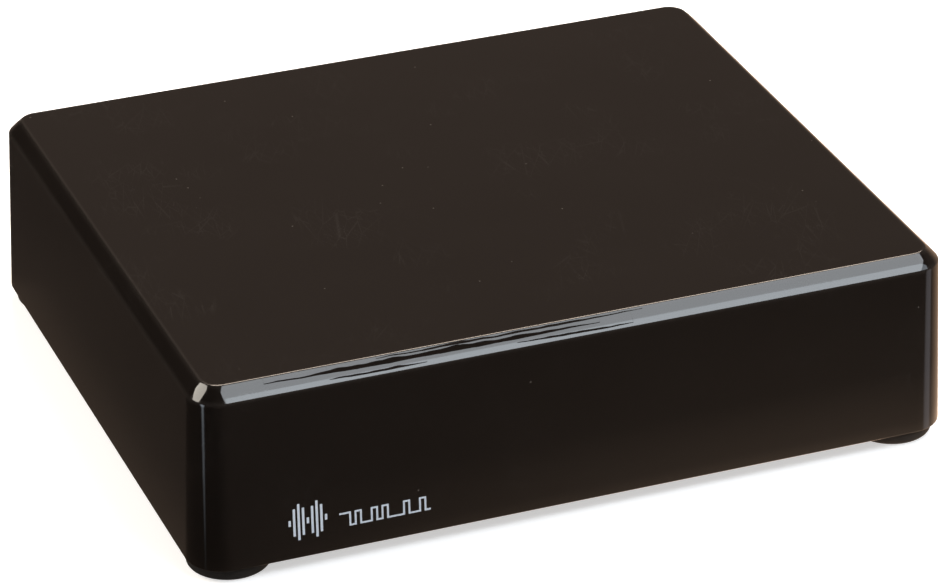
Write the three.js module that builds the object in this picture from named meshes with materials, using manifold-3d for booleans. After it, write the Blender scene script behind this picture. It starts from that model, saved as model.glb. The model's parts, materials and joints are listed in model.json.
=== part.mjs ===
// A small desktop digital-to-analogue converter: a glossy moulded case on four rubber feet, with a
// circuit board on its base plate and a recessed rear panel that carries the sockets.
// Millimetres, +Z up. The front faces -Y and the sockets face +Y. The floor is z = 0, and the origin is
// at the middle of everything's footprint, sockets included.

import * as THREE from 'three';
import { mergeVertices } from 'three/addons/utils/BufferGeometryUtils.js';
import Module from 'manifold-3d';

const wasm = await Module();
wasm.setup();

// ---------------------------------------------------------------- driving dimensions

// Case
const caseWidth = 138;          // X, at the bottom edge
const caseDepth = 116.7;        // Y, at the bottom edge
const caseHeight = 33.4;        // bottom edge to flat top
const wallDraft = 1.17;         // how far each wall leans in between the bottom edge and the chamfer
const topChamfer = 2.35;        // 45 degree chamfer round the top
const cornerRadius = 6.7;       // upright corners, in plan, at the bottom edge
const wall = 2.3;

// Straight steps that stand for round shapes
const cornerSteps = 7;          // in each rounded corner of the case
const roundSides = 20;
const smallSides = 12;

// Gaps between separate pieces
const fitGap = 0.3;             // between pieces that touch or nest
const closeGap = 0.2;           // inside the small sockets

// Rubber feet, pushed into the base plate by a stem
const footHeight = 2.5;         // floor to the case's bottom edge
const footRadius = 7.25;
const footInset = 8;            // foot centre to the case's bottom edges
const footEdge = 0.8;           // soft lower edge
const stemRadius = 2;
const barbRadius = 2.7;
const barbHeight = 1.4;
const barbTipRadius = 1.4;

// Base plate and the screws that pull it onto the case
const baseThickness = 2.4;
const caseScrewInsetX = 12;     // screw centre to the case's side edges
const caseScrewInsetY = 19.35;  // screw centre to the case's front and rear edges
const caseScrewRadius = 1.3;
const caseScrewHeadRadius = 2.6;
const caseScrewHeadHeight = 1.4;
const caseScrewLength = 12;
const bossWall = 2.0;           // plastic round each screw hole in the case

// Rear opening and panel
const windowWidth = 108;
const windowDrop = 4.8;         // inner ceiling to the top of the rear opening
const panelThickness = 1.5;
const panelOverlap = 2;         // how far the panel reaches behind the opening's edges

// Circuit board and what carries it
const boardWidth = 104;
const boardDepth = 80;
const boardThickness = 1.6;
const standoffHeight = 4;
const standoffRadius = 3;
const boardHoleInset = 4.5;     // screw centre to the board's edges
const boardScrewRadius = 1.1;
const boardScrewHeadRadius = 2.2;
const boardScrewHeadHeight = 1.2;
const boardScrewLength = 4.5;

// Phono sockets: two line outputs and one coaxial digital input
const phonoSleeveRadius = 4.15;
const phonoSleeveWall = 0.7;
const phonoReach = 9.5;         // sleeve end beyond the panel
const phonoHoleRadius = 1.62;   // takes the plug's centre pin
const phonoContactWall = 0.33;
const phonoSeatDepth = 2.5;     // how deep the sleeve sits in its housing
const phonoHousingWidth = 11;
const phonoHousingDepth = 11;
const phonoHousingHeight = 13;
const phonoAxisHeight = 7;      // above the board
const lineOutputPitch = 14;

// Optical input with its sprung shutter
const opticalWidth = 9.7;
const opticalHeight = 9.7;
const opticalReach = 1;         // face beyond the panel
const opticalFace = 1;          // thickness of the face round the mouth
const opticalSide = 1.15;
const opticalFloor = 1.35;
const opticalRoof = 0.75;
const opticalBackWall = 1.2;    // between the cavity and the light receiver
const mouthWidth = 6.4;
const mouthHeight = 5.3;
const mouthCorner = 1.1;        // cut across the mouth's two lower corners
const shutterOverlap = 0.3;     // how far the shutter laps behind the mouth's edges
const shutterThickness = 0.8;
const pivotRadius = 0.6;        // stub axles of the shutter
const pivotClearance = 0.1;
const knuckleRadius = 0.7;
const springWireRadius = 0.12;
const springTurns = 3.25;
const springLength = 1.6;
const springLeg = 2.2;
const guideReach = 2;           // ferrule guide at the back of the cavity
const guideRadius = 2.3;
const ferruleRadius = 1.7;
const receiverThickness = 1.8;
const receiverLegThickness = 0.5;
const receiverLegPitch = 2.54;

// Power socket for a 5.5 mm barrel plug with a 2.1 mm pin
const powerHousingWidth = 9;
const powerHousingDepth = 13;
const powerHousingHeight = 11;
const powerNoseRadius = 4.3;
const powerReach = 1.2;         // nose beyond the panel
const powerBoreRadius = 3.15;
const powerBoreDepth = 10;
const powerPinRadius = 1;
const powerLeafWidth = 3;
const powerLeafThickness = 0.3;

// Socket places across the rear, seen from the front
const lineOutputX = -33;
const coaxialX = 4;
const opticalX = 23;
const powerX = 42;

// ---------------------------------------------------------------- derived heights and places

const caseBottom = footHeight;
const caseTop = caseBottom + caseHeight;
const chamferFoot = caseTop - topChamfer;
const innerChamfer = Math.max(topChamfer - (2 - Math.SQRT2) * wall, closeGap);
const ceiling = caseTop - wall;
const baseTop = caseBottom + baseThickness;
const boardBottom = baseTop + standoffHeight + fitGap;
const boardTop = boardBottom + boardThickness;
const partsFloor = boardTop + fitGap;
const halfWidth = caseWidth / 2;
const halfDepth = caseDepth / 2;

// Everything is drawn about the middle of the case's footprint; the panel's outer face is upright.
const panelFace = halfDepth - wallDraft - wall - fitGap;
const panelBack = panelFace - panelThickness;
const windowTop = ceiling - windowDrop;
const rearReach = panelFace + phonoReach - halfDepth;
const boardRear = panelBack - fitGap;
const boardFront = boardRear - boardDepth;

// ---------------------------------------------------------------- solids

// Drops normals, texture coordinates and flat triangles, so that a three.js geometry is one closed skin.
function skin(geometry) {
  const bare = geometry.clone();
  bare.deleteAttribute('normal');
  bare.deleteAttribute('uv');
  const merged = mergeVertices(bare, 1e-5);
  const corners = merged.index.array;
  const kept = [];
  for (let i = 0; i < corners.length; i += 3) {
    const [a, b, c] = [corners[i], corners[i + 1], corners[i + 2]];
    if (a !== b && b !== c && c !== a) {
      kept.push(a, b, c);
    }
  }
  merged.setIndex(kept);
  return merged;
}

function toSolid(geometry) {
  const closed = skin(geometry);
  const vertProperties = new Float32Array(closed.attributes.position.array);
  const triVerts = new Uint32Array(closed.index.array);
  return new wasm.Manifold(new wasm.Mesh({ numProp: 3, vertProperties, triVerts }));
}

function toGeometry(solid) {
  const mesh = solid.getMesh();
  const geometry = new THREE.BufferGeometry();
  geometry.setAttribute('position', new THREE.BufferAttribute(mesh.vertProperties, 3));
  geometry.setIndex(new THREE.BufferAttribute(mesh.triVerts, 1));
  return geometry;
}

function join(...geometries) {
  return toGeometry(geometries.map(toSolid).reduce((whole, piece) => whole.add(piece)));
}

function cut(geometry, ...tools) {
  return toGeometry(tools.map(toSolid).reduce((left, tool) => left.subtract(tool), toSolid(geometry)));
}

function common(first, second) {
  return toGeometry(toSolid(first).intersect(toSolid(second)));
}

// A box given by its middle in X, and by its low and high Y and Z.
function slab(x, width, lowY, highY, lowZ, highZ) {
  const box = new THREE.BoxGeometry(width, highY - lowY, highZ - lowZ);
  return box.translate(x, (lowY + highY) / 2, (lowZ + highZ) / 2);
}

// A round bar standing up between two heights.
function upright(x, y, radius, lowZ, highZ, sides = smallSides) {
  const bar = new THREE.CylinderGeometry(radius, radius, highZ - lowZ, sides);
  return bar.rotateX(Math.PI / 2).translate(x, y, (lowZ + highZ) / 2);
}

// A round bar lying along Y.
function alongY(x, z, radius, lowY, highY, sides = roundSides) {
  const bar = new THREE.CylinderGeometry(radius, radius, highY - lowY, sides);
  return bar.translate(x, (lowY + highY) / 2, z);
}

// A round bar lying along X.
function alongX(lowX, highX, y, z, radius) {
  const bar = new THREE.CylinderGeometry(radius, radius, highX - lowX, smallSides);
  return bar.rotateZ(Math.PI / 2).translate((lowX + highX) / 2, y, z);
}

// A turned piece. The outline is [radius, height] pairs, up the outside and down the inside.
function turned(outline, sides = roundSides) {
  return new THREE.LatheGeometry(outline.map(([r, h]) => new THREE.Vector2(r, h)), sides);
}

function turnedUpright(outline, x, y, sides) {
  return turned(outline, sides).rotateX(Math.PI / 2).translate(x, y, 0);
}

function roundedOutline(width, depth, radius, steps) {
  const points = [];
  for (let quarter = 0; quarter < 4; quarter += 1) {
    const middle = (quarter + 0.5) * Math.PI / 2;
    const centreX = Math.sign(Math.cos(middle)) * (width / 2 - radius);
    const centreY = Math.sign(Math.sin(middle)) * (depth / 2 - radius);
    for (let step = 0; step <= steps; step += 1) {
      const angle = (quarter + step / steps) * Math.PI / 2;
      points.push(new THREE.Vector2(centreX + radius * Math.cos(angle), centreY + radius * Math.sin(angle)));
    }
  }
  return points;
}

// A closed body through rounded-rectangle levels, each { z, width, depth, radius }, from the bottom up.
function stacked(levels, steps) {
  const outlines = levels.map(({ width, depth, radius }) => roundedOutline(width, depth, radius, steps));
  const count = outlines[0].length;
  const last = levels.length - 1;
  const positions = [];
  outlines.forEach((outline, level) => {
    outline.forEach(({ x, y }) => positions.push(x, y, levels[level].z));
  });
  const triangles = [];
  for (let level = 0; level < last; level += 1) {
    for (let i = 0; i < count; i += 1) {
      const a = level * count + i;
      const b = level * count + (i + 1) % count;
      triangles.push(a, b, b + count, a, b + count, a + count);
    }
  }
  THREE.ShapeUtils.triangulateShape(outlines[0], []).forEach(([a, b, c]) => {
    triangles.push(a, c, b);
  });
  THREE.ShapeUtils.triangulateShape(outlines[last], []).forEach(([a, b, c]) => {
    triangles.push(last * count + a, last * count + b, last * count + c);
  });
  const geometry = new THREE.BufferGeometry();
  geometry.setAttribute('position', new THREE.Float32BufferAttribute(positions, 3));
  geometry.setIndex(triangles);
  return geometry;
}

// One level of the case, a given distance inside its bottom edge.
function caseLevel(z, inset) {
  return {
    z,
    width: caseWidth - 2 * inset,
    depth: caseDepth - 2 * inset,
    radius: cornerRadius - inset,
  };
}

// How far the leaning outer wall has come in at a height.
function leanAt(z) {
  return wallDraft * (z - caseBottom) / (chamferFoot - caseBottom);
}

// ---------------------------------------------------------------- materials

function finish(colour, roughness, metalness) {
  return new THREE.MeshStandardMaterial({ color: colour, roughness, metalness });
}

const pianoBlack = () => finish(0x0d0b0a, 0.06, 0);
const mattBlack = () => finish(0x1b1b1c, 0.6, 0);
const socketBlack = () => finish(0x111112, 0.45, 0);
const rubberBlack = () => finish(0x161616, 0.9, 0);
const zincSteel = () => finish(0xb4b4b0, 0.35, 1);
const blackSteel = () => finish(0x242426, 0.45, 0.8);
const nickel = () => finish(0xc8c6c0, 0.2, 1);
const gilt = () => finish(0xd6ab52, 0.25, 1);
const boardGreen = () => finish(0x12502f, 0.4, 0);
const chipBlack = () => finish(0x18181a, 0.5, 0);
const canSleeve = () => finish(0x1c2030, 0.35, 0);
const ferrite = () => finish(0x2c2c2e, 0.7, 0.1);
const whitePlastic = () => finish(0xe6e4de, 0.4, 0);
const redPlastic = () => finish(0xa81c16, 0.4, 0);
const orangePlastic = () => finish(0xd0651a, 0.4, 0);
const shutterPlastic = () => finish(0x1e1e20, 0.35, 0);

const converter = new THREE.Group();
const inCase = new THREE.Group();     // drawn about the middle of the case's own footprint
inCase.position.y = -rearReach / 2;
converter.add(inCase);

function place(name, geometry, material) {
  const mesh = new THREE.Mesh(geometry, material);
  mesh.name = name;
  inCase.add(mesh);
}

// The four corners of the case, in the order their pieces are named.
const corners = [
  { name: 'front_left', sideX: -1, sideY: -1 },
  { name: 'front_right', sideX: 1, sideY: -1 },
  { name: 'back_left', sideX: -1, sideY: 1 },
  { name: 'back_right', sideX: 1, sideY: 1 },
];

function footPlace({ sideX, sideY }) {
  return [sideX * (halfWidth - footInset), sideY * (halfDepth - footInset)];
}

function caseScrewPlace({ sideX, sideY }) {
  return [sideX * (halfWidth - caseScrewInsetX), sideY * (halfDepth - caseScrewInsetY)];
}

function boardScrewPlace({ sideX, sideY }) {
  const x = sideX * (boardWidth / 2 - boardHoleInset);
  const y = sideY < 0 ? boardFront + boardHoleInset : boardRear - phonoHousingDepth - boardHoleInset;
  return [x, y];
}

// ---------------------------------------------------------------- case

const screwPadTop = baseTop + caseScrewHeadHeight;
const screwSeat = caseBottom + caseScrewHeadHeight + closeGap;   // underside of the screw heads
const bossRadius = caseScrewRadius + closeGap + bossWall;
const screwTip = screwSeat + caseScrewLength;

function outerBody() {
  return stacked([
    caseLevel(caseBottom, 0),
    caseLevel(chamferFoot, wallDraft),
    caseLevel(caseTop, wallDraft + topChamfer),
  ], cornerSteps);
}

function topShell() {
  const innerFoot = ceiling - innerChamfer;
  const hollow = stacked([
    caseLevel(caseBottom - fitGap, wall),
    caseLevel(innerFoot, wall + leanAt(innerFoot)),
    caseLevel(ceiling, wall + leanAt(innerFoot) + innerChamfer),
  ], cornerSteps);
  const seatLow = baseTop + fitGap;
  const seatHigh = windowTop + panelOverlap + fitGap;
  const panelSeat = slab(
    0, windowWidth + 2 * panelOverlap,
    panelFace + fitGap, halfDepth - wallDraft - fitGap,
    seatLow, seatHigh,
  );
  const bosses = corners.map((corner) => {
    const [x, y] = caseScrewPlace(corner);
    return upright(x, y, bossRadius, screwPadTop + fitGap, ceiling + wall / 2, roundSides);
  });
  const screwHoles = corners.map((corner) => {
    const [x, y] = caseScrewPlace(corner);
    return upright(x, y, caseScrewRadius + closeGap, screwPadTop, screwTip + fitGap);
  });
  const rearWindow = slab(0, windowWidth, panelFace, halfDepth + fitGap, caseBottom - fitGap, windowTop);
  const walls = cut(outerBody(), hollow);
  return cut(join(walls, common(panelSeat, outerBody()), ...bosses), ...screwHoles, rearWindow);
}

place('top_shell', topShell(), pianoBlack());

function basePlate() {
  const plate = stacked([
    caseLevel(caseBottom, wall + fitGap),
    caseLevel(baseTop, wall + fitGap + leanAt(baseTop)),
  ], cornerSteps);
  const tongue = slab(0, windowWidth - 2 * fitGap, panelBack, halfDepth + fitGap, caseBottom, baseTop);
  const pads = corners.map((corner) => {
    const [x, y] = caseScrewPlace(corner);
    return upright(x, y, caseScrewHeadRadius + bossWall, caseBottom, screwPadTop, roundSides);
  });
  const standoffs = corners.map((corner) => {
    const [x, y] = boardScrewPlace(corner);
    return upright(x, y, standoffRadius, caseBottom, baseTop + standoffHeight);
  });
  const holes = corners.flatMap((corner) => {
    const [footX, footY] = footPlace(corner);
    const [screwX, screwY] = caseScrewPlace(corner);
    const [boardX, boardY] = boardScrewPlace(corner);
    const boardScrewTip = boardTop + fitGap - boardScrewLength;
    return [
      upright(footX, footY, stemRadius + closeGap, caseBottom - 1, baseTop + 1),
      upright(screwX, screwY, caseScrewRadius + closeGap, caseBottom - 1, screwPadTop + 1),
      upright(screwX, screwY, caseScrewHeadRadius + fitGap, caseBottom - 1, screwSeat + closeGap),
      upright(boardX, boardY, boardScrewRadius + closeGap, boardScrewTip - fitGap, boardTop),
    ];
  });
  const body = common(join(plate, tongue), outerBody());
  return cut(join(body, ...pads, ...standoffs), ...holes);
}

place('base_plate', basePlate(), mattBlack());

// ---------------------------------------------------------------- rear panel

const phonoAxisZ = boardTop + phonoAxisHeight;
const opticalLow = partsFloor;
const opticalHigh = opticalLow + opticalHeight;
const powerAxisZ = partsFloor + powerHousingHeight / 2;
const lineOutputXs = {
  left: lineOutputX + lineOutputPitch / 2,
  right: lineOutputX - lineOutputPitch / 2,
};

function rearPanel() {
  const sheet = slab(
    0, windowWidth + 2 * panelOverlap,
    panelBack, panelFace,
    baseTop + fitGap, windowTop + panelOverlap,
  );
  const phonoHoles = [lineOutputXs.left, lineOutputXs.right, coaxialX].map((x) => (
    alongY(x, phonoAxisZ, phonoSleeveRadius + fitGap, panelBack - 1, panelFace + 1)
  ));
  const opticalHole = slab(
    opticalX, opticalWidth + 2 * closeGap,
    panelBack - 1, panelFace + 1,
    opticalLow - closeGap, opticalHigh + closeGap,
  );
  const powerHole = alongY(powerX, powerAxisZ, powerNoseRadius + fitGap, panelBack - 1, panelFace + 1);
  return cut(sheet, ...phonoHoles, opticalHole, powerHole);
}

place('rear_panel', rearPanel(), mattBlack());

// ---------------------------------------------------------------- feet and screws

function foot(corner) {
  const [x, y] = footPlace(corner);
  const discTop = caseBottom - fitGap;
  const barbLow = baseTop + closeGap;
  const edge = footEdge * (1 - Math.SQRT1_2);
  return turnedUpright([
    [0, 0],
    [footRadius - footEdge, 0],
    [footRadius - edge, edge],
    [footRadius, footEdge],
    [footRadius, discTop],
    [stemRadius, discTop],
    [stemRadius, barbLow],
    [barbRadius, barbLow],
    [barbTipRadius, barbLow + barbHeight],
    [0, barbLow + barbHeight],
  ], x, y);
}

// Shares of a screw's own head height, head radius and shank radius.
const screwCrownShare = 0.35;
const screwSlotDepthShare = 0.55;
const screwSlotLengthShare = 1.2;
const screwSlotWidthShare = 0.22;
const screwTipShare = 0.35;

// A pan-head screw with a crossed slot. Its head's flat underside is at seatZ and its tip at tipZ.
function screw(x, y, seatZ, tipZ, radius, headRadius, headHeight) {
  const out = Math.sign(seatZ - tipZ);
  const tip = Math.abs(seatZ - tipZ);
  const crown = screwCrownShare * headHeight;
  const slotDepth = screwSlotDepthShare * headHeight;
  const body = turned([
    [0, -tip],
    [radius * screwTipShare, -tip],
    [radius, -tip + radius],
    [radius, 0],
    [headRadius, 0],
    [headRadius, headHeight - crown],
    [headRadius - crown, headHeight],
    [0, headHeight],
  ], smallSides);
  const slotLength = screwSlotLengthShare * headRadius;
  const slotWidth = screwSlotWidthShare * headRadius;
  const slots = [[slotLength, slotWidth], [slotWidth, slotLength]].map(([long, wide]) => (
    new THREE.BoxGeometry(long, 2 * slotDepth, wide).translate(0, headHeight, 0)
  ));
  return cut(body, ...slots).rotateX(out * Math.PI / 2).translate(x, y, seatZ);
}

corners.forEach((corner) => {
  place(`foot_${corner.name}`, foot(corner), rubberBlack());
});

corners.forEach((corner) => {
  const [x, y] = caseScrewPlace(corner);
  const body = screw(
    x, y, screwSeat, screwTip,
    caseScrewRadius, caseScrewHeadRadius, caseScrewHeadHeight,
  );
  place(`case_screw_${corner.name}`, body, blackSteel());
});

corners.forEach((corner) => {
  const [x, y] = boardScrewPlace(corner);
  const seat = boardTop + fitGap;
  const body = screw(
    x, y, seat, seat - boardScrewLength,
    boardScrewRadius, boardScrewHeadRadius, boardScrewHeadHeight,
  );
  place(`board_screw_${corner.name}`, body, zincSteel());
});

// ---------------------------------------------------------------- circuit board

function circuitBoard() {
  const sheet = slab(0, boardWidth, boardFront, boardRear, boardBottom, boardTop);
  const holes = corners.map((corner) => {
    const [x, y] = boardScrewPlace(corner);
    return upright(x, y, boardScrewRadius + closeGap, boardBottom - 1, boardTop + 1);
  });
  return cut(sheet, ...holes);
}

place('circuit_board', circuitBoard(), boardGreen());

// ---------------------------------------------------------------- phono sockets

const housingFront = panelBack - fitGap;
const phonoRoot = housingFront - phonoSeatDepth + closeGap;
const phonoEnd = panelFace + phonoReach;
const phonoBore = phonoSleeveRadius - phonoSleeveWall;
const contactRadius = phonoHoleRadius + phonoContactWall;

function phonoHousing(xs) {
  const width = Math.max(...xs) - Math.min(...xs) + phonoHousingWidth;
  const middle = (Math.max(...xs) + Math.min(...xs)) / 2;
  const block = slab(
    middle, width,
    housingFront - phonoHousingDepth, housingFront,
    partsFloor, partsFloor + phonoHousingHeight,
  );
  const seats = xs.map((x) => (
    alongY(x, phonoAxisZ, phonoSleeveRadius + closeGap, housingFront - phonoSeatDepth, housingFront + 1)
  ));
  return cut(block, ...seats);
}

function phonoSleeve(x) {
  const lip = 0.25 * phonoSleeveWall;
  return turned([
    [phonoBore, phonoRoot],
    [phonoSleeveRadius, phonoRoot],
    [phonoSleeveRadius, phonoEnd - lip],
    [phonoSleeveRadius - lip, phonoEnd],
    [phonoBore + lip, phonoEnd],
    [phonoBore, phonoEnd - lip],
    [phonoBore, phonoRoot],
  ]).translate(x, 0, phonoAxisZ);
}

function phonoInsulator(x) {
  const outer = phonoBore - closeGap;
  const inner = contactRadius + closeGap;
  const face = phonoEnd - phonoSleeveWall;
  return turned([
    [inner, phonoRoot],
    [outer, phonoRoot],
    [outer, face],
    [inner, face],
    [inner, phonoRoot],
  ]).translate(x, 0, phonoAxisZ);
}

// The centre contact is a tube with a closed inner end.
function phonoContact(x) {
  const mouth = phonoEnd - 2 * phonoSleeveWall;
  const floor = phonoRoot + 2 * phonoContactWall;
  return turned([
    [0, phonoRoot],
    [contactRadius, phonoRoot],
    [contactRadius, mouth],
    [phonoHoleRadius, mouth],
    [phonoHoleRadius, floor],
    [0, floor],
  ]).translate(x, 0, phonoAxisZ);
}

place('line_output_housing', phonoHousing(Object.values(lineOutputXs)), socketBlack());
place('coaxial_input_housing', phonoHousing([coaxialX]), socketBlack());

const phonoSockets = [
  { name: 'line_output_left', x: lineOutputXs.left, colour: whitePlastic },
  { name: 'line_output_right', x: lineOutputXs.right, colour: redPlastic },
  { name: 'coaxial_input', x: coaxialX, colour: orangePlastic },
];
phonoSockets.forEach(({ name, x, colour }) => {
  place(`${name}_sleeve`, phonoSleeve(x), gilt());
  place(`${name}_insulator`, phonoInsulator(x), colour());
  place(`${name}_contact`, phonoContact(x), gilt());
});

// ---------------------------------------------------------------- optical input

const opticalFront = panelFace + opticalReach;
const cavityFront = opticalFront - opticalFace;
const cavityWidth = opticalWidth - 2 * opticalSide;
const cavityLow = opticalLow + opticalFloor;
const cavityHigh = opticalHigh - opticalRoof;
const pivotZ = cavityHigh - knuckleRadius - closeGap;
const shutterFront = cavityFront - closeGap;
const pivotY = shutterFront - knuckleRadius;
const shutterLow = cavityLow + 2 * closeGap;
const shutterSweep = Math.hypot(pivotZ - shutterLow, knuckleRadius);
const cavityBack = pivotY - shutterSweep - closeGap - guideReach;
const opticalBack = cavityBack - opticalBackWall - receiverThickness;
const shutterWidth = cavityWidth - 2 * closeGap;
const mouthLow = shutterLow + shutterOverlap;
const pivotReach = shutterWidth / 2 + opticalSide / 2;
const springPinRadius = knuckleRadius / 2;
const guideZ = mouthLow + mouthHeight / 2;

// The mouth's outline: a rectangle with its two lower corners cut across.
function mouthCut() {
  const half = mouthWidth / 2;
  const outline = new THREE.Shape([
    new THREE.Vector2(-half + mouthCorner, 0),
    new THREE.Vector2(half - mouthCorner, 0),
    new THREE.Vector2(half, mouthCorner),
    new THREE.Vector2(half, mouthHeight),
    new THREE.Vector2(-half, mouthHeight),
    new THREE.Vector2(-half, mouthCorner),
  ]);
  const bar = new THREE.ExtrudeGeometry(outline, { depth: opticalFace + 2, bevelEnabled: false });
  return bar.rotateX(Math.PI / 2).translate(opticalX, opticalFront + 1, mouthLow);
}

function opticalHousing() {
  const block = slab(opticalX, opticalWidth, opticalBack, opticalFront, opticalLow, opticalHigh);
  const cavity = slab(opticalX, cavityWidth, cavityBack, cavityFront, cavityLow, cavityHigh);
  const guide = alongY(opticalX, guideZ, guideRadius, cavityBack - fitGap, cavityBack + guideReach);
  const ferruleHole = alongY(
    opticalX, guideZ, ferruleRadius,
    opticalBack - 1, cavityBack + guideReach + 1,
  );
  const receiverPocket = slab(
    opticalX, cavityWidth,
    opticalBack - 1, opticalBack + receiverThickness,
    cavityLow, cavityHigh,
  );
  const pivotHole = alongX(
    opticalX - pivotReach - closeGap, opticalX + pivotReach + closeGap,
    pivotY, pivotZ, pivotRadius + pivotClearance,
  );
  const open = cut(block, cavity, mouthCut());
  return cut(join(open, guide), ferruleHole, receiverPocket, pivotHole);
}

function opticalShutter() {
  const half = shutterWidth / 2;
  const springHalf = springLength / 2 + closeGap;
  const face = slab(
    opticalX, shutterWidth,
    shutterFront - shutterThickness, shutterFront,
    shutterLow, pivotZ,
  );
  const knuckle = alongX(opticalX - half, opticalX + half, pivotY, pivotZ, knuckleRadius);
  const axle = alongX(opticalX - pivotReach, opticalX + pivotReach, pivotY, pivotZ, pivotRadius);
  const springSpace = slab(
    opticalX, 2 * springHalf,
    pivotY - 2 * knuckleRadius, pivotY + 2 * knuckleRadius,
    pivotZ - 1.5 * knuckleRadius, pivotZ + 1.5 * knuckleRadius,
  );
  const pinHalf = springHalf + fitGap;
  const springPin = alongX(opticalX - pinHalf, opticalX + pinHalf, pivotY, pivotZ, springPinRadius);
  return join(cut(join(face, knuckle, axle), springSpace), springPin);
}

// A torsion spring round the middle of the pivot, with one leg down the shutter's inner face.
function shutterSpring() {
  const coilRadius = springPinRadius + springWireRadius + closeGap;
  const stepsPerTurn = 8;
  const steps = Math.round(springTurns * stepsPerTurn);
  const startX = opticalX - springLength / 2 + springWireRadius;
  const points = [
    new THREE.Vector3(startX, pivotY - coilRadius, pivotZ - springLeg),
    new THREE.Vector3(startX, pivotY - coilRadius, pivotZ - springLeg / 2),
  ];
  for (let step = 0; step <= steps; step += 1) {
    const angle = 2 * Math.PI * step / stepsPerTurn;
    points.push(new THREE.Vector3(
      startX + (springLength - 2 * springWireRadius) * step / steps,
      pivotY - coilRadius * Math.cos(angle),
      pivotZ + coilRadius * Math.sin(angle),
    ));
  }
  const section = new THREE.Shape().absarc(0, 0, springWireRadius, 0, 2 * Math.PI);
  return new THREE.ExtrudeGeometry(section, {
    steps: points.length,
    curveSegments: 3,
    extrudePath: new THREE.CatmullRomCurve3(points),
  });
}

// The light receiver fills a pocket in the housing's back, with its lens in the ferrule hole.
function opticalReceiver() {
  const back = opticalBack - receiverLegThickness - fitGap;
  const body = slab(
    opticalX, cavityWidth - 2 * fitGap,
    back, opticalBack + receiverThickness - fitGap,
    cavityLow + fitGap, cavityHigh - fitGap,
  );
  const lens = alongY(
    opticalX, guideZ, ferruleRadius - fitGap,
    opticalBack, opticalBack + receiverThickness + fitGap,
  );
  const legs = [-1, 0, 1].map((side) => slab(
    opticalX + side * receiverLegPitch, receiverLegThickness,
    back, back + receiverLegThickness,
    partsFloor, cavityLow + 1,
  ));
  return join(body, lens, ...legs);
}

place('optical_input_housing', opticalHousing(), socketBlack());
place('optical_shutter', opticalShutter(), shutterPlastic());
place('shutter_spring', shutterSpring(), zincSteel());
place('optical_receiver', opticalReceiver(), chipBlack());

// ---------------------------------------------------------------- power socket

const powerFront = panelFace + powerReach;
const powerBack = housingFront - powerHousingDepth;
const powerBoreFloor = powerFront - powerBoreDepth;
const leafLow = powerAxisZ - powerNoseRadius + fitGap;
const leafHigh = powerAxisZ - powerBoreRadius + powerLeafThickness;

function powerHousing() {
  const block = slab(
    powerX, powerHousingWidth,
    powerBack, housingFront,
    partsFloor, partsFloor + powerHousingHeight,
  );
  const nose = alongY(powerX, powerAxisZ, powerNoseRadius, housingFront - 1, powerFront);
  const bore = alongY(powerX, powerAxisZ, powerBoreRadius, powerBoreFloor, powerFront + 1);
  const pinHole = alongY(
    powerX, powerAxisZ, powerPinRadius + closeGap,
    powerBack - 1, powerFront, smallSides,
  );
  const leafSlot = slab(
    powerX, powerLeafWidth + 2 * closeGap,
    powerBoreFloor + fitGap, housingFront - 2 * fitGap,
    partsFloor - 1, powerAxisZ - powerBoreRadius / 2,
  );
  return cut(join(block, nose), bore, pinHole, leafSlot);
}

// The centre pin, its flange behind the housing and its tail down to the board.
function powerPin() {
  const flangeFront = powerBack - fitGap;
  const flangeBack = flangeFront - powerPinRadius;
  const tip = powerFront - powerPinRadius;
  const pin = turned([
    [0, flangeBack],
    [2 * powerPinRadius, flangeBack],
    [2 * powerPinRadius, flangeFront],
    [powerPinRadius, flangeFront],
    [powerPinRadius, tip - powerPinRadius / 2],
    [powerPinRadius / 2, tip],
    [0, tip],
  ], smallSides).translate(powerX, 0, powerAxisZ);
  const tail = slab(powerX, 2 * powerPinRadius, flangeBack, flangeFront, partsFloor, powerAxisZ);
  return join(pin, tail);
}

// A leaf bowed up into the bore, with a tail down through the housing's floor.
function powerLeaf() {
  const low = powerBoreFloor + 2 * fitGap;
  const high = housingFront - 3 * fitGap;
  const middle = (low + high) / 2;
  const outline = new THREE.Shape([
    new THREE.Vector2(low, partsFloor),
    new THREE.Vector2(low + powerLeafThickness, partsFloor),
    new THREE.Vector2(low + powerLeafThickness, leafLow),
    new THREE.Vector2(middle, leafHigh - powerLeafThickness),
    new THREE.Vector2(high, leafLow),
    new THREE.Vector2(high, leafLow + powerLeafThickness),
    new THREE.Vector2(middle, leafHigh),
    new THREE.Vector2(low, leafLow + powerLeafThickness),
  ]);
  const leaf = new THREE.ExtrudeGeometry(outline, { depth: powerLeafWidth, bevelEnabled: false });
  leaf.rotateY(Math.PI / 2).rotateX(Math.PI / 2);
  return leaf.translate(powerX - powerLeafWidth / 2, 0, 0);
}

place('power_input_housing', powerHousing(), socketBlack());
place('power_input_pin', powerPin(), nickel());
place('power_input_leaf', powerLeaf(), nickel());

// ---------------------------------------------------------------- parts on the circuit board

const chipSizes = {
  converter: { length: 10.2, width: 5.3, height: 1.9, leadsPerSide: 14, leadPitch: 0.65, leadWidth: 0.3 },
  receiver: { length: 18, width: 7.5, height: 2.4, leadsPerSide: 14, leadPitch: 1.27, leadWidth: 0.42 },
  amplifier: { length: 5, width: 3.9, height: 1.7, leadsPerSide: 4, leadPitch: 1.27, leadWidth: 0.42 },
  transformer: { length: 8, width: 7, height: 4.5, leadsPerSide: 3, leadPitch: 2.54, leadWidth: 0.5 },
};
const canSizes = {
  supply: { radius: 5, height: 16 },
  regulated: { radius: 4, height: 11.5 },
  output: { radius: 3.15, height: 11 },
};
const coilSize = { radius: 4, height: 5 };
const diodeSize = { width: 2.6, depth: 4.5, height: 2.2 };

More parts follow.
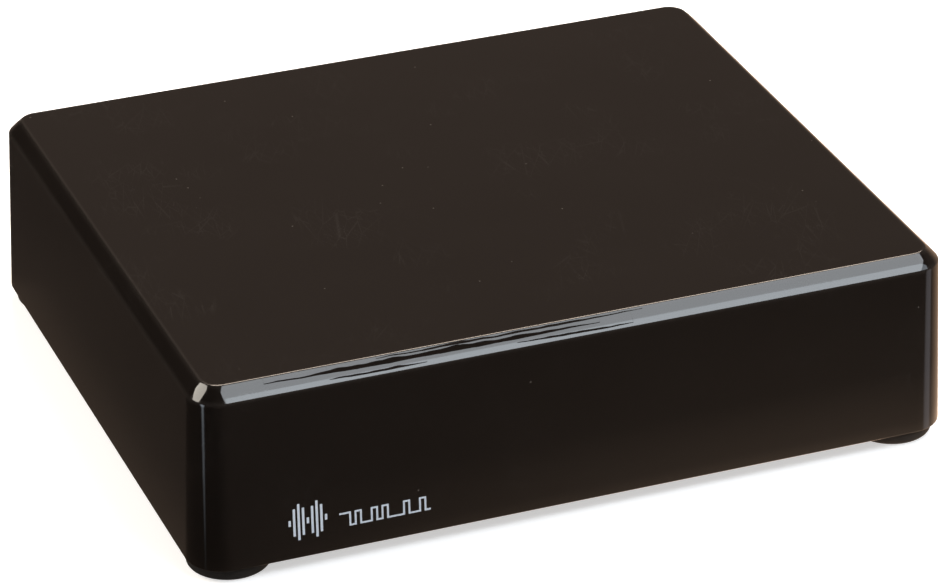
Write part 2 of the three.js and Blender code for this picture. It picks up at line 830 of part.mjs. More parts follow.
// A moulded chip with a row of leads down each long side. Its length runs along Y.
function chip(x, y, { length, width, height, leadsPerSide, leadPitch, leadWidth }) {
  const leadThickness = 0.25;
  const leadReach = 0.9;
  const body = slab(
    x, width,
    y - length / 2, y + length / 2,
    partsFloor + leadThickness, partsFloor + height,
  );
  const leads = [];
  for (let i = 0; i < leadsPerSide; i += 1) {
    const leadY = y + (i - (leadsPerSide - 1) / 2) * leadPitch;
    [-1, 1].forEach((side) => {
      const outline = new THREE.Shape([
        new THREE.Vector2(width / 2 - leadThickness, height / 2),
        new THREE.Vector2(width / 2 + leadReach, 0),
        new THREE.Vector2(width / 2 + leadReach, leadThickness),
        new THREE.Vector2(width / 2 - leadThickness, height / 2 + leadThickness),
      ]);
      const lead = new THREE.ExtrudeGeometry(outline, { depth: leadWidth, bevelEnabled: false });
      lead.translate(0, 0, -leadWidth / 2).rotateX(Math.PI / 2);
      if (side < 0) {
        lead.rotateZ(Math.PI);
      }
      leads.push(lead.translate(x, leadY, partsFloor));
    });
  }
  return join(body, ...leads);
}

function capacitor(x, y, { radius, height }) {
  const edge = 0.12 * radius;
  const crimp = 1.6;
  return turnedUpright([
    [0, 0],
    [radius - edge, 0],
    [radius, edge],
    [radius, crimp - edge],
    [radius - edge, crimp],
    [radius, crimp + edge],
    [radius, height - edge],
    [radius - edge, height],
    [0, height],
  ], x, y, smallSides).translate(0, 0, partsFloor);
}

function inductor(x, y, { radius, height }) {
  const rim = 0.2 * height;
  return turnedUpright([
    [0, 0],
    [radius, 0],
    [radius, rim],
    [0.8 * radius, rim],
    [0.8 * radius, height - rim],
    [radius, height - rim],
    [radius, height],
    [0, height],
  ], x, y, smallSides).translate(0, 0, partsFloor);
}

// A three-legged regulator with its cooling tab on the far side.
function regulator(x, y) {
  const body = { width: 6.5, depth: 3.5, low: 0.1, high: 1.7 };
  const metal = { thickness: 0.3, reach: 3.5, root: 1.5 };
  const tabWidth = 3;
  const legWidth = 0.7;
  const legPitch = 2.3;
  const metalTop = partsFloor + metal.thickness;
  const block = slab(
    x, body.width,
    y - body.depth / 2, y + body.depth / 2,
    partsFloor + body.low, partsFloor + body.high,
  );
  const tab = slab(x, tabWidth, y + metal.root, y + metal.reach, partsFloor, metalTop);
  const legs = [-legPitch, 0, legPitch].map((offset) => (
    slab(x + offset, legWidth, y - metal.reach, y - metal.root, partsFloor, metalTop)
  ));
  return join(block, tab, ...legs);
}

// A flat crystal can with round ends on a thin flange.
function crystal(x, y) {
  const flange = { width: 11.2, depth: 4.7, radius: 2.34 };
  const can = { width: 10.3, depth: 3.8, radius: 1.89 };
  const flangeTop = 0.5;
  const canTop = 3.5;
  const endSteps = 4;
  return stacked([
    { z: 0, ...flange },
    { z: flangeTop, ...flange },
    { z: flangeTop, ...can },
    { z: canTop, ...can },
  ], endSteps).translate(x, y, partsFloor);
}

function diode(x, y, { width, depth, height }) {
  return slab(x, width, y - depth / 2, y + depth / 2, partsFloor, partsFloor + height);
}

// Board parts stand in rows, counted forward from the sockets, and in columns in line with them.
const rowPitch = 18;
const firstRow = housingFront - powerHousingDepth - 9;
const secondRow = firstRow - rowPitch;
const thirdRow = secondRow - rowPitch;
const leftX = lineOutputXs.left;
const rightX = lineOutputXs.right;

place('output_amplifier_left', chip(leftX, firstRow, chipSizes.amplifier), chipBlack());
place('output_amplifier_right', chip(rightX, firstRow, chipSizes.amplifier), chipBlack());
place('output_capacitor_left', capacitor(leftX + 9, firstRow, canSizes.output), canSleeve());
place('output_capacitor_right', capacitor(rightX - 8, firstRow, canSizes.output), canSleeve());
place('input_transformer', chip(coaxialX, firstRow, chipSizes.transformer), ferrite());
place('supply_diode', diode(powerX, firstRow, diodeSize), chipBlack());

place('converter_chip', chip(lineOutputX, secondRow, chipSizes.converter), chipBlack());
place('clock_crystal', crystal((lineOutputX + coaxialX) / 2, secondRow), nickel());
place('input_receiver_chip', chip(coaxialX, secondRow, chipSizes.receiver), chipBlack());
place('digital_regulator', regulator(opticalX, secondRow), chipBlack());
place('supply_capacitor', capacitor(powerX, secondRow, canSizes.supply), canSleeve());

place('analogue_capacitor_left', capacitor(leftX, thirdRow, canSizes.regulated), canSleeve());
place('analogue_capacitor_right', capacitor(rightX, thirdRow, canSizes.regulated), canSleeve());
place('analogue_regulator', regulator((lineOutputX + coaxialX) / 2, thirdRow), chipBlack());
place('digital_capacitor', capacitor(opticalX, thirdRow, canSizes.regulated), canSleeve());
place('supply_inductor', inductor(powerX, thirdRow, coilSize), ferrite());

export default converter;
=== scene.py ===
"""Looks of the small desktop digital-to-analogue converter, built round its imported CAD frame.

Sizes below are in millimetres and are turned into metres as the meshes are made. The row frame has
the front face towards -Y, the sockets towards +Y, and the floor at z = 0.
"""

import json
import math

import bpy
from mathutils import Matrix, Vector


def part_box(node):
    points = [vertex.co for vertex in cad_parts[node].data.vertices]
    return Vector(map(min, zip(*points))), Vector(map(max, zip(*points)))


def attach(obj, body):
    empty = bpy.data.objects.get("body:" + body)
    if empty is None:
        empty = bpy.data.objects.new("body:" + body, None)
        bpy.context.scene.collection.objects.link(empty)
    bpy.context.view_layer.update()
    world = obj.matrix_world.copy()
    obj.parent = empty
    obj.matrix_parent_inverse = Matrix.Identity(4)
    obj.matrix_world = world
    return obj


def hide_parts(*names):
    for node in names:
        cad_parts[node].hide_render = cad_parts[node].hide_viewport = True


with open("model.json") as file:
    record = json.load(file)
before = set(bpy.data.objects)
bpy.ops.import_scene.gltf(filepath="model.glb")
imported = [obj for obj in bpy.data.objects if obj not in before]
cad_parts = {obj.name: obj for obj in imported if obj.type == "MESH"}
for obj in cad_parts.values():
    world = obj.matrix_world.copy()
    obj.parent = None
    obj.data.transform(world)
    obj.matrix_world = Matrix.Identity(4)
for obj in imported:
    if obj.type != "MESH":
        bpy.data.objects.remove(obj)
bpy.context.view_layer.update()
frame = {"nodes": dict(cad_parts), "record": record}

MM = 0.001

# ------------------------------------------------------------------ sizes, in millimetres

WALL_DRAFT = 1.17          # lean of each wall between its foot and the chamfer
TOP_CHAMFER = 2.35
CORNER_RADIUS = 6.7        # upright corners, in plan, at the foot of the wall
WALL = 2.3
WINDOW_WIDTH = 108.0       # opening in the rear wall
WINDOW_DROP = 4.8          # inner ceiling to the top of the opening
EDGE_RADIUS = 0.4          # along both edges of the top chamfer
CHAMFER_CROWN = 0.05       # how far the middle of the chamfer stands proud of flat
CORNER_STEPS = 20
FIT_GAP = 0.3
CLOSE_GAP = 0.2
ROUND_STEPS = 64           # straight steps round a turned piece


def box_mm(node):
    low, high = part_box(node)
    return low / MM, high / MM


SHELL_LOW, SHELL_HIGH = box_mm("top_shell")
CASE_WIDTH = SHELL_HIGH.x - SHELL_LOW.x
CASE_DEPTH = SHELL_HIGH.y - SHELL_LOW.y
CASE_MIDDLE = (SHELL_LOW + SHELL_HIGH) / 2
CASE_BOTTOM = SHELL_LOW.z
CASE_TOP = SHELL_HIGH.z
CHAMFER_FOOT = CASE_TOP - TOP_CHAMFER
CEILING = CASE_TOP - WALL
WINDOW_TOP = CEILING - WINDOW_DROP
PANEL_FACE = box_mm("rear_panel")[1].y
LEAN = math.atan2(WALL_DRAFT, CHAMFER_FOOT - CASE_BOTTOM)
FRONT_LIMIT = SHELL_LOW.y + WALL_DRAFT + TOP_CHAMFER     # the front chamfer lies before this


# ------------------------------------------------------------------ mesh helpers

def make_object(name, mesh):
    piece = bpy.data.objects.new(name, mesh)
    bpy.context.scene.collection.objects.link(piece)
    return piece


def mesh_from(name, points, faces, scale=MM):
    mesh = bpy.data.meshes.new(name)
    mesh.from_pydata([Vector(point) * scale for point in points], [], faces)
    mesh.validate()
    mesh.update()
    return mesh


def shade_smooth(piece):
    for face in piece.data.polygons:
        face.use_smooth = True


def bevel(piece, width, angle=50, segments=3):
    """Rounds every edge sharper than the angle, and keeps the flat faces looking flat."""
    rounding = piece.modifiers.new("rounding", "BEVEL")
    rounding.width = width * MM
    rounding.segments = segments
    rounding.limit_method = "ANGLE"
    rounding.angle_limit = math.radians(angle)
    rounding.use_clamp_overlap = True
    weights = piece.modifiers.new("flat_faces", "WEIGHTED_NORMAL")
    weights.keep_sharp = False
    weights.weight = 80
    shade_smooth(piece)


def settle(piece):
    """Applies a piece's modifiers to its mesh."""
    bpy.context.view_layer.update()
    graph = bpy.context.evaluated_depsgraph_get()
    made = bpy.data.meshes.new_from_object(piece.evaluated_get(graph))
    piece.modifiers.clear()
    piece.data = made
    return piece


def combine(piece, tool, operation):
    """Joins a tool to a piece or cuts it away, and removes the tool."""
    step = piece.modifiers.new("step", "BOOLEAN")
    step.operation = operation
    step.solver = "EXACT"
    step.object = tool
    settle(piece)
    bpy.data.objects.remove(tool)
    return piece


def turned_mesh(name, profile, steps=ROUND_STEPS):
    """A body turned about Z from [radius, height] points, up the outside and down the inside."""
    closed = profile[0] == profile[-1]
    ring_points = profile[:-1] if closed else profile
    points, faces, rows = [], [], []
    for radius, height in ring_points:
        if radius == 0:
            rows.append([len(points)])
            points.append((0, 0, height))
            continue
        rows.append(list(range(len(points), len(points) + steps)))
        for step in range(steps):
            angle = 2 * math.pi * step / steps
            points.append((radius * math.cos(angle), radius * math.sin(angle), height))
    pairs = list(zip(rows, rows[1:]))
    if closed:
        pairs.append((rows[-1], rows[0]))
    for low, high in pairs:
        for step in range(steps):
            after = (step + 1) % steps
            face = [
                low[step % len(low)], low[after % len(low)],
                high[after % len(high)], high[step % len(high)],
            ]
            faces.append(list(dict.fromkeys(face)))
    return mesh_from(name, points, faces)


def turned(name, profile, place, along="Z", steps=ROUND_STEPS):
    """A turned piece standing at a place in millimetres, with its axis along Z or along Y."""
    piece = make_object(name, turned_mesh(name, profile, steps))
    if along == "Y":
        piece.data.transform(Matrix.Rotation(math.radians(-90), 4, "X"))
    piece.data.transform(Matrix.Translation(Vector(place) * MM))
    return piece


def block(name, low, high):
    """A box between two corners in millimetres, for cutting and joining."""
    (x0, y0, z0), (x1, y1, z1) = low, high
    points = [(x, y, z) for z in (z0, z1) for y in (y0, y1) for x in (x0, x1)]
    faces = [(0, 2, 3, 1), (4, 5, 7, 6), (0, 1, 5, 4), (2, 6, 7, 3), (0, 4, 6, 2), (1, 3, 7, 5)]
    return make_object(name, mesh_from(name, points, faces))


def arc(centre, radius, start, end, steps):
    """Points along an arc in a profile, angles in degrees from the radius axis."""
    made = []
    for step in range(steps + 1):
        angle = math.radians(start + (end - start) * step / steps)
        made.append((centre[0] + radius * math.cos(angle), centre[1] + radius * math.sin(angle)))
    return made


def finish_piece(piece, material, body="case", stands_for=()):
    piece.data.materials.clear()
    piece.data.materials.append(material)
    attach(piece, body)
    if stands_for:
        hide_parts(*stands_for)
    return piece


NODE_SLOTS = {row["node"]: row["material_slot"] for row in frame["record"]["subparts"]}


# ------------------------------------------------------------------ materials

class Material:
    """A node material under construction: its nodes are added and linked by short calls."""

    def __init__(self, name):
        self.data = bpy.data.materials.new(name)
        self.data.use_nodes = True
        self.tree = self.data.node_tree
        self.shader = self.tree.nodes["Principled BSDF"]
        self.place = self.node("ShaderNodeTexCoord").outputs["Object"]

    def node(self, kind, **values):
        made = self.tree.nodes.new(kind)
        for key, value in values.items():
            if hasattr(made, key):
                setattr(made, key, value)
            else:
                made.inputs[key].default_value = value
        return made

    def link(self, source, target):
        self.tree.links.new(source, target)

    def set(self, **values):
        for key, value in values.items():
            self.shader.inputs[key.replace("_", " ")].default_value = value

    def stretched(self, stretch, turn=(0, 0, 0)):
        """The object's own coordinates, stretched along each axis and turned, in radians."""
        mapping = self.node("ShaderNodeMapping")
        mapping.inputs["Scale"].default_value = stretch
        mapping.inputs["Rotation"].default_value = turn
        self.link(self.place, mapping.inputs["Vector"])
        return mapping.outputs["Vector"]

    def noise(self, size, detail=3.0, roughness=0.5, vector=None):
        """Soft noise whose blobs are about this many millimetres across."""
        made = self.node("ShaderNodeTexNoise", Scale=1 / (size * MM), Detail=detail, Roughness=roughness)
        self.link(vector or self.place, made.inputs["Vector"])
        return made.outputs["Fac"]

    def spots(self, size, randomness=1.0, vector=None, feature="F1"):
        made = self.node("ShaderNodeTexVoronoi", feature=feature)
        made.inputs["Scale"].default_value = 1 / (size * MM)
        made.inputs["Randomness"].default_value = randomness
        self.link(vector or self.place, made.inputs["Vector"])
        return made.outputs["Distance"]

    def between(self, source, low, high, to_low=0.0, to_high=1.0):
        """Maps low..high of a value to a new range, held at its ends."""
        made = self.node("ShaderNodeMapRange")
        self.link(source, made.inputs["Value"])
        for socket, value in zip(("From Min", "From Max", "To Min", "To Max"), (low, high, to_low, to_high)):
            made.inputs[socket].default_value = value
        return made.outputs["Result"]

    def math(self, operation, first, second):
        made = self.node("ShaderNodeMath", operation=operation)
        for socket, value in zip(made.inputs, (first, second)):
            if isinstance(value, (int, float)):
                socket.default_value = value
            else:
                self.link(value, socket)
        return made.outputs["Value"]

    def blend(self, share, first, second):
        """A colour between two, each a colour or another node's colour."""
        made = self.node("ShaderNodeMix", data_type="RGBA")
        self.link(share, made.inputs["Factor"])
        for socket, colour in ((made.inputs[6], first), (made.inputs[7], second)):
            if isinstance(colour, tuple):
                socket.default_value = (*colour, 1)
            else:
                self.link(colour, socket)
        return made.outputs[2]

    def colour(self, source):
        self.link(source, self.shader.inputs["Base Color"])

    def roughness(self, source):
        self.link(source, self.shader.inputs["Roughness"])

    def bump(self, height, depth, strength=1.0):
        """Adds a height, scaled so that 1 stands this many millimetres proud, to what is there."""
        made = self.node("ShaderNodeBump")
        made.inputs["Distance"].default_value = depth * MM
        made.inputs["Strength"].default_value = strength
        self.link(height, made.inputs["Height"])
        normal = self.shader.inputs["Normal"]
        if normal.is_linked:
            self.link(normal.links[0].from_socket, made.inputs["Normal"])
        self.link(made.outputs["Normal"], normal)

    def edges(self, low=0.52, high=0.6):
        """How much a surface is an outward edge, from its shape."""
        return self.between(self.node("ShaderNodeNewGeometry").outputs["Pointiness"], low, high)


# Lines where the plastic met as it filled the mould, in the front chamfer: [left end, right end,
# height up the chamfer at each end, half width], in millimetres from the case's middle.
FLOW_LINES = [
    (-58, 6, 1.6, 1.35, 0.3),
    (-46, -26, 0.6, 0.55, 0.14),
    (-13, 11, 0.75, 0.5, 0.15),
    (-40, 15, 2.05, 2.0, 0.14),
]
FLOW_HEIGHT = 0.22
FLOW_WAVER = 0.12          # slow wandering of a line, up and down the chamfer
FLOW_FRAY = 0.04           # and its fine raggedness
FLOW_TAPER = 0.3           # share of the length over which each end narrows

# Hairline scratches run along the edges of stretched cells: [turn in radians, stretch]
SCRATCHES = [(0.5, 9), (-0.7, 12), (1.25, 10)]
SCRATCH_CELL = 16


def flow_line(made, left, right, rise_left, rise_right, half_width):
    """A long shallow step in the front chamfer that wavers, and narrows to nothing at its ends."""
    parts = made.node("ShaderNodeSeparateXYZ")
    made.link(made.place, parts.inputs["Vector"])
    x, y, z = (parts.outputs[axis] for axis in "XYZ")
    line_up = made.between(x, left * MM, right * MM, (CHAMFER_FOOT + rise_left) * MM,
                           (CHAMFER_FOOT + rise_right) * MM)
    slow = made.noise(9, 2, 0.5, made.stretched((1, 0, 0)))
    ragged = made.noise(0.9, 2, 0.5, made.stretched((0.3, 1, 1)))
    waver = made.between(slow, 0.25, 0.75, -FLOW_WAVER * MM, FLOW_WAVER * MM)
    fray = made.between(ragged, 0.25, 0.75, -FLOW_FRAY * MM, FLOW_FRAY * MM)
    away = made.math("SUBTRACT", z, made.math("ADD", line_up, made.math("ADD", waver, fray)))
    taper = (right - left) * FLOW_TAPER
    grows = made.between(x, left * MM, (left + taper) * MM)
    fades = made.between(x, right * MM, (right - taper) * MM)
    width = made.math("MULTIPLY", made.math("MULTIPLY", grows, fades), half_width * MM)
    width = made.math("MULTIPLY", width, made.between(slow, 0.3, 0.7, 0.45, 1.3))
    share = made.math("DIVIDE", away, made.math("MAXIMUM", width, 0.02 * MM))
    step = made.between(share, -1, 1)
    there = made.math("GREATER_THAN", width, 0.03 * MM)
    on_front = made.math("LESS_THAN", y, FRONT_LIMIT * MM)
    return made.math("MULTIPLY", step, made.math("MULTIPLY", there, on_front))


def piano_black():
    """Mirror-gloss moulded plastic: faint mould waves, hairline scratches, dust and rubbed edges."""
    made = Material("piano_black")
    made.set(IOR=1.5)
    edge = made.node("ShaderNodeAttribute", attribute_name="edge").outputs["Fac"]
    cloud = made.noise(38, 2)
    scratch_masks = []
    for turn, stretch in SCRATCHES:
        vector = made.stretched((1, 1, 1), (0.3, turn, 0.2))
        fine = made.node("ShaderNodeMapping")
        fine.inputs["Scale"].default_value = (1, 1, stretch)
        made.link(vector, fine.inputs["Vector"])
        line = made.spots(SCRATCH_CELL, vector=fine.outputs["Vector"], feature="DISTANCE_TO_EDGE")
        scratch_masks.append(made.between(line, 0.016, 0.004))
    scratches = made.math("MAXIMUM", made.math("MAXIMUM", *scratch_masks[:2]), scratch_masks[2])
    patchy = made.between(made.noise(14, 2), 0.52, 0.66)
    scratches = made.math("MULTIPLY", scratches, patchy)
    dust = made.between(made.spots(5.5), 0.035, 0.02)
    plain = made.blend(cloud, (0.0036, 0.0027, 0.0023), (0.0054, 0.0042, 0.0036))
    dusty = made.blend(made.math("MULTIPLY", dust, 0.5), plain, (0.11, 0.1, 0.09))
    scratched = made.blend(made.math("MULTIPLY", scratches, 0.04), dusty, (0.09, 0.085, 0.08))
    rubbed = made.blend(made.math("MULTIPLY", edge, 0.35), scratched, (0.022, 0.019, 0.017))
    made.colour(rubbed)
    base = made.between(made.noise(9, 4), 0.3, 0.7, 0.035, 0.06)
    worn = made.math("ADD", base, made.math("MULTIPLY", edge, 0.05))
    made.roughness(made.math("ADD", worn, made.math("MULTIPLY", scratches, 0.05)))
    made.bump(made.noise(22, 1), 0.02)
    made.bump(made.noise(3.5, 2), 0.0012)
    made.bump(scratches, 0.0003)
    for line in FLOW_LINES:
        made.bump(flow_line(made, *line), FLOW_HEIGHT)
    return made.data


def textured_plastic(name, dark, light, grain=0.22, rough=(0.42, 0.6), depth=0.012):
    """Moulded plastic with a spark-eroded grain and slightly polished edges."""
    made = Material(name)
    made.set(IOR=1.5)
    cloud = made.noise(18, 3)
    edge = made.edges()
    colour = made.blend(cloud, dark, light)
    polished = tuple(channel * 2.4 + 0.01 for channel in light)
    made.colour(made.blend(made.math("MULTIPLY", edge, 0.4), colour, polished))
    uneven = made.between(made.noise(grain * 3, 3), 0.3, 0.7, *rough)
    made.roughness(made.math("SUBTRACT", uneven, made.math("MULTIPLY", edge, 0.12)))
    made.bump(made.noise(grain, 2, 0.6), depth)
    return made.data


def rubber():
    """Soft rubber: dull, and a little grey with dust."""
    made = Material("rubber_black")
    made.set(IOR=1.45)
    cloud = made.noise(4, 4, 0.6)
    dusted = made.between(made.noise(0.9, 3), 0.55, 0.75, 0.0, 0.5)
    colour = made.blend(cloud, (0.008, 0.0072, 0.0066), (0.013, 0.012, 0.011))
    made.colour(made.blend(dusted, colour, (0.026, 0.024, 0.022)))
    made.roughness(made.between(cloud, 0.3, 0.7, 0.72, 0.9))
    made.bump(made.noise(0.35, 3, 0.6), 0.02)
    return made.data


def metal(name, dark, light, rough, turned_marks=False):
    """Plated metal with fine marks: round the axis on turned pieces, at random on pressed ones."""
    made = Material(name)
    made.set(Metallic=1.0)
    stretch = (1, 34, 1) if turned_marks else (6, 1, 2)
    marks = made.noise(2.2, 4, 0.65, made.stretched(stretch))
    tarnish = made.noise(3.2, 3)
    made.colour(made.blend(tarnish, dark, light))
    spread = made.between(marks, 0.3, 0.7, rough * 0.75, rough * 1.35)
    dulled = made.math("MULTIPLY", made.between(tarnish, 0.5, 0.8), 0.08)
    made.roughness(made.math("ADD", spread, dulled))
    made.bump(marks, 0.004)
    return made.data


def coloured_plastic(name, dark, light):
    """Small moulded insulators: satin, with faint flow marks."""
    made = Material(name)
    made.set(IOR=1.5)
    made.colour(made.blend(made.noise(1.8, 3), dark, light))
    made.roughness(made.between(made.noise(0.5, 3), 0.3, 0.7, 0.28, 0.42))
    made.bump(made.noise(0.25, 2), 0.004)
    return made.data


def print_ink():
    """Silk-screened ink, very slightly uneven where the mesh of the screen held less."""
    made = Material("print_ink")
    weave = made.noise(0.12, 2, 0.6)
    cover = made.between(weave, 0.35, 0.65)
    made.colour(made.blend(cover, (0.4, 0.46, 0.54), (0.52, 0.58, 0.66)))
    made.roughness(made.between(weave, 0.3, 0.7, 0.45, 0.6))
    made.bump(weave, 0.003)
    return made.data


def board_laminate():
    """Green solder mask over copper: raised tracks show a little lighter, with tinned dots."""
    made = Material("board_laminate")
    made.set(IOR=1.5)
    across = made.spots(3.4, 0.35, made.stretched((1, 1, 0)), "DISTANCE_TO_EDGE")
    tracks = made.between(across, 0.1, 0.06)
    dots = made.between(made.spots(4.1, 0.5, made.stretched((1, 1, 0))), 0.11, 0.09)
    mask = made.blend(tracks, (0.006, 0.055, 0.022), (0.012, 0.105, 0.04))
    made.colour(made.blend(dots, mask, (0.55, 0.55, 0.52)))
    made.roughness(made.between(made.noise(2, 3), 0.3, 0.7, 0.25, 0.38))
    made.bump(tracks, 0.03)
    return made.data


MATERIALS = {
    "piano_black": piano_black(),
    "matt_black": textured_plastic("matt_black", (0.009, 0.009, 0.0095), (0.015, 0.015, 0.0155)),
    "socket_black": textured_plastic(
        "socket_black", (0.006, 0.006, 0.0062), (0.011, 0.011, 0.011), 0.3, (0.28, 0.4), 0.004),
    "shutter_black": textured_plastic(
        "shutter_black", (0.014, 0.014, 0.015), (0.024, 0.024, 0.025), 0.25, (0.3, 0.42), 0.004),
    "rubber_black": rubber(),
    "zinc_steel": metal("zinc_steel", (0.5, 0.5, 0.48), (0.66, 0.66, 0.65), 0.28),
    "black_steel": metal("black_steel", (0.03, 0.03, 0.032), (0.055, 0.055, 0.056), 0.35),
    "nickel": metal("nickel", (0.58, 0.56, 0.53), (0.72, 0.7, 0.67), 0.2, True),
    "gilt": metal("gilt", (0.75, 0.5, 0.17), (0.9, 0.66, 0.28), 0.24, True),
    "board_laminate": board_laminate(),
    "chip_black": textured_plastic(
        "chip_black", (0.01, 0.01, 0.011), (0.018, 0.018, 0.019), 0.15, (0.4, 0.55), 0.006),
    "can_sleeve": textured_plastic(
        "can_sleeve", (0.008, 0.01, 0.024), (0.013, 0.017, 0.04), 0.8, (0.2, 0.32), 0.004),
    "ferrite": textured_plastic(
        "ferrite", (0.02, 0.02, 0.021), (0.035, 0.035, 0.036), 0.12, (0.6, 0.8), 0.01),
    "white_plastic": coloured_plastic("white_plastic", (0.68, 0.67, 0.63), (0.8, 0.79, 0.76)),
    "red_plastic": coloured_plastic("red_plastic", (0.36, 0.012, 0.008), (0.5, 0.02, 0.014)),
    "orange_plastic": coloured_plastic("orange_plastic", (0.6, 0.13, 0.012), (0.78, 0.2, 0.025)),
}
INK = print_ink()


# ------------------------------------------------------------------ case

CROWN_SHARES = (0.2, 0.4, 0.6, 0.8)      # rows of points up the chamfer, as shares of its height
SHOULDER_LEAD = (0.02, 0.5)              # the row below the chamfer's foot: outwards, and down
BROW_LEAD = 0.5                          # the row inside the chamfer's head, on the flat top


def lean_at(z):
    """How far the wall's outside has leaned in at a height."""
    return WALL_DRAFT * (z - CASE_BOTTOM) / (CHAMFER_FOOT - CASE_BOTTOM)


def window_columns():
    """X of the points between the two rear corners: the opening's edges, with its frame outside."""
    edge = WINDOW_WIDTH / 2
    return [edge + WALL, edge, -edge, -edge - WALL]


def case_outline(inset):
    """Plan of the case at a distance inside its foot, anticlockwise from the right rear corner."""
    radius = max(CORNER_RADIUS - inset, 0.3)
    points = []
    for quarter in range(4):
        middle = math.radians(45 + 90 * quarter)
        x = math.copysign(CASE_WIDTH / 2 - inset - radius, math.cos(middle))
        y = math.copysign(CASE_DEPTH / 2 - inset - radius, math.sin(middle))
        for step in range(CORNER_STEPS + 1):
            angle = math.radians(90 * (quarter + step / CORNER_STEPS))
            points.append((x + radius * math.cos(angle), y + radius * math.sin(angle)))
        if quarter == 0:
            points += [(column, CASE_DEPTH / 2 - inset) for column in window_columns()]
    return [(x + CASE_MIDDLE.x, y + CASE_MIDDLE.y) for x, y in points]


def rounded_bend(before, corner, after, radius, steps=4):
    """Points that round a profile's corner between two neighbouring points."""
    towards_before = (Vector(before) - Vector(corner)).normalized()
    towards_after = (Vector(after) - Vector(corner)).normalized()
    half = towards_before.angle(towards_after) / 2
    reach = radius / math.tan(half)
    centre = Vector(corner) + (towards_before + towards_after).normalized() * radius / math.sin(half)
    start = Vector(corner) + towards_before * reach - centre
    end = Vector(corner) + towards_after * reach - centre
    return [tuple(centre + start.slerp(end, step / steps) * radius) for step in range(steps + 1)]


def crowned(low, high, share):
    """A point part of the way up the chamfer, which stands very slightly proud of straight."""
    proud = 4 * CHAMFER_CROWN * share * (1 - share) * math.sqrt(0.5)
    inset = low[0] + (high[0] - low[0]) * share - proud
    return (inset, low[1] + (high[1] - low[1]) * share + proud)


def case_cover():
    """The outer shell, outside and inside, with its opening at the rear."""
    foot = (0, CASE_BOTTOM)
    shoulder = (WALL_DRAFT, CHAMFER_FOOT)
    brow = (WALL_DRAFT + TOP_CHAMFER, CASE_TOP)
    middle = (CASE_DEPTH / 2, CASE_TOP)
    inner_chamfer = TOP_CHAMFER - (2 - math.sqrt(2)) * WALL
    inner_foot = CEILING - inner_chamfer
    inner_lean = WALL + lean_at(inner_foot)
    shoulder_bend = rounded_bend(foot, shoulder, brow, EDGE_RADIUS)
    brow_bend = rounded_bend(shoulder, brow, middle, EDGE_RADIUS)
    inside = [
        (inner_lean + inner_chamfer, CEILING),
        (inner_lean, inner_foot),
        (WALL + lean_at(WINDOW_TOP + WALL), WINDOW_TOP + WALL),
        (WALL + lean_at(WINDOW_TOP), WINDOW_TOP),
        (WALL, CASE_BOTTOM),
    ]
    outside = [foot, (lean_at(WINDOW_TOP), WINDOW_TOP)]
    below = (shoulder_bend[0][0] - SHOULDER_LEAD[0], shoulder_bend[0][1] - SHOULDER_LEAD[1])
    crown_steps = [crowned(shoulder_bend[-1], brow_bend[0], share) for share in CROWN_SHARES]
    rim = (brow_bend[-1][0] + BROW_LEAD, CASE_TOP)
    outside += [below, *shoulder_bend, *crown_steps, *brow_bend, rim]
    rows = inside + outside
    columns = len(case_outline(0))
    first_frame = CORNER_STEPS + 1
    window = range(first_frame + 1, first_frame + 3)
    inner_window_row, inner_foot_row = 3, 4
    outer_foot_row, outer_window_row = 5, 6
    points = []
    for row, (inset, z) in enumerate(rows):
        for column, (x, y) in enumerate(case_outline(inset)):
            if column in window and row in (inner_window_row, inner_foot_row):
                y = PANEL_FACE + FIT_GAP
            points.append((x, y, z))

    def at(row, column):
        return row * columns + column % columns

    faces = []
    edge_left, edge_right = window[1], window[0]
    for row in range(len(rows) - 1):
        for column in range(columns):
            opening = column == edge_right and inner_window_row <= row < outer_window_row
            if not opening:
                faces.append([
                    at(row, column), at(row, column + 1),
                    at(row + 1, column + 1), at(row + 1, column),
                ])
    reveal = [inner_window_row, inner_foot_row, outer_foot_row, outer_window_row]
    faces.append([at(row, edge_right) for row in reveal])
    faces.append([at(row, edge_left) for row in reversed(reveal)])
    faces.append([
        at(inner_window_row, edge_right), at(outer_window_row, edge_right),
        at(outer_window_row, edge_left), at(inner_window_row, edge_left),
    ])
    faces.append([at(0, column) for column in reversed(range(columns))])
    faces.append([at(len(rows) - 1, column) for column in range(columns)])
    mesh = mesh_from("case_cover", points, faces)
    edge = mesh.attributes.new("edge", "FLOAT", "POINT")
    for bend in (shoulder_bend, brow_bend):
        first = rows.index(bend[0])
        for row in range(first, first + len(bend)):
            for column in range(columns):
                edge.data[at(row, column)].value = 1.0
    return make_object("case_cover", mesh)


OPENING_EDGE = 0.25        # rounding along the foot of the walls and round the rear opening

cover = case_cover()
bevel(cover, OPENING_EDGE)
finish_piece(cover, MATERIALS["piano_black"], stands_for=["top_shell"])


# ------------------------------------------------------------------ printed mark on the front

MARK_X = 16.1              # left edge of the mark, from the case's left foot
MARK_Z = 3.4               # lower edge of the mark above the case's foot
MARK_SIZE = 6.8
MARK_BARS = 9
SHORTEST_BAR = 0.16        # as a share of the longest
PULSE_X = 25.0
PULSE_Z = 4.2
PULSE_LENGTH = 16.2
PULSE_HEIGHT = 2.7
PULSE_WIDTHS = [2, 1, 1, 2, 1, 1, 1, 3, 1, 2, 1, 1]      # high, low, high and so on
LINE_WIDTH = 0.42
PULSE_LINE = 0.8 * LINE_WIDTH
INK_THICKNESS = 0.02


def on_front(along, up, proud):
    """A place on the leaning front face: along it from the left foot, up it from its foot."""
    x = SHELL_LOW.x + along
    y = SHELL_LOW.y + up * math.sin(LEAN) - proud * math.cos(LEAN)
    return (x, y, CASE_BOTTOM + up * math.cos(LEAN) + proud * math.sin(LEAN))


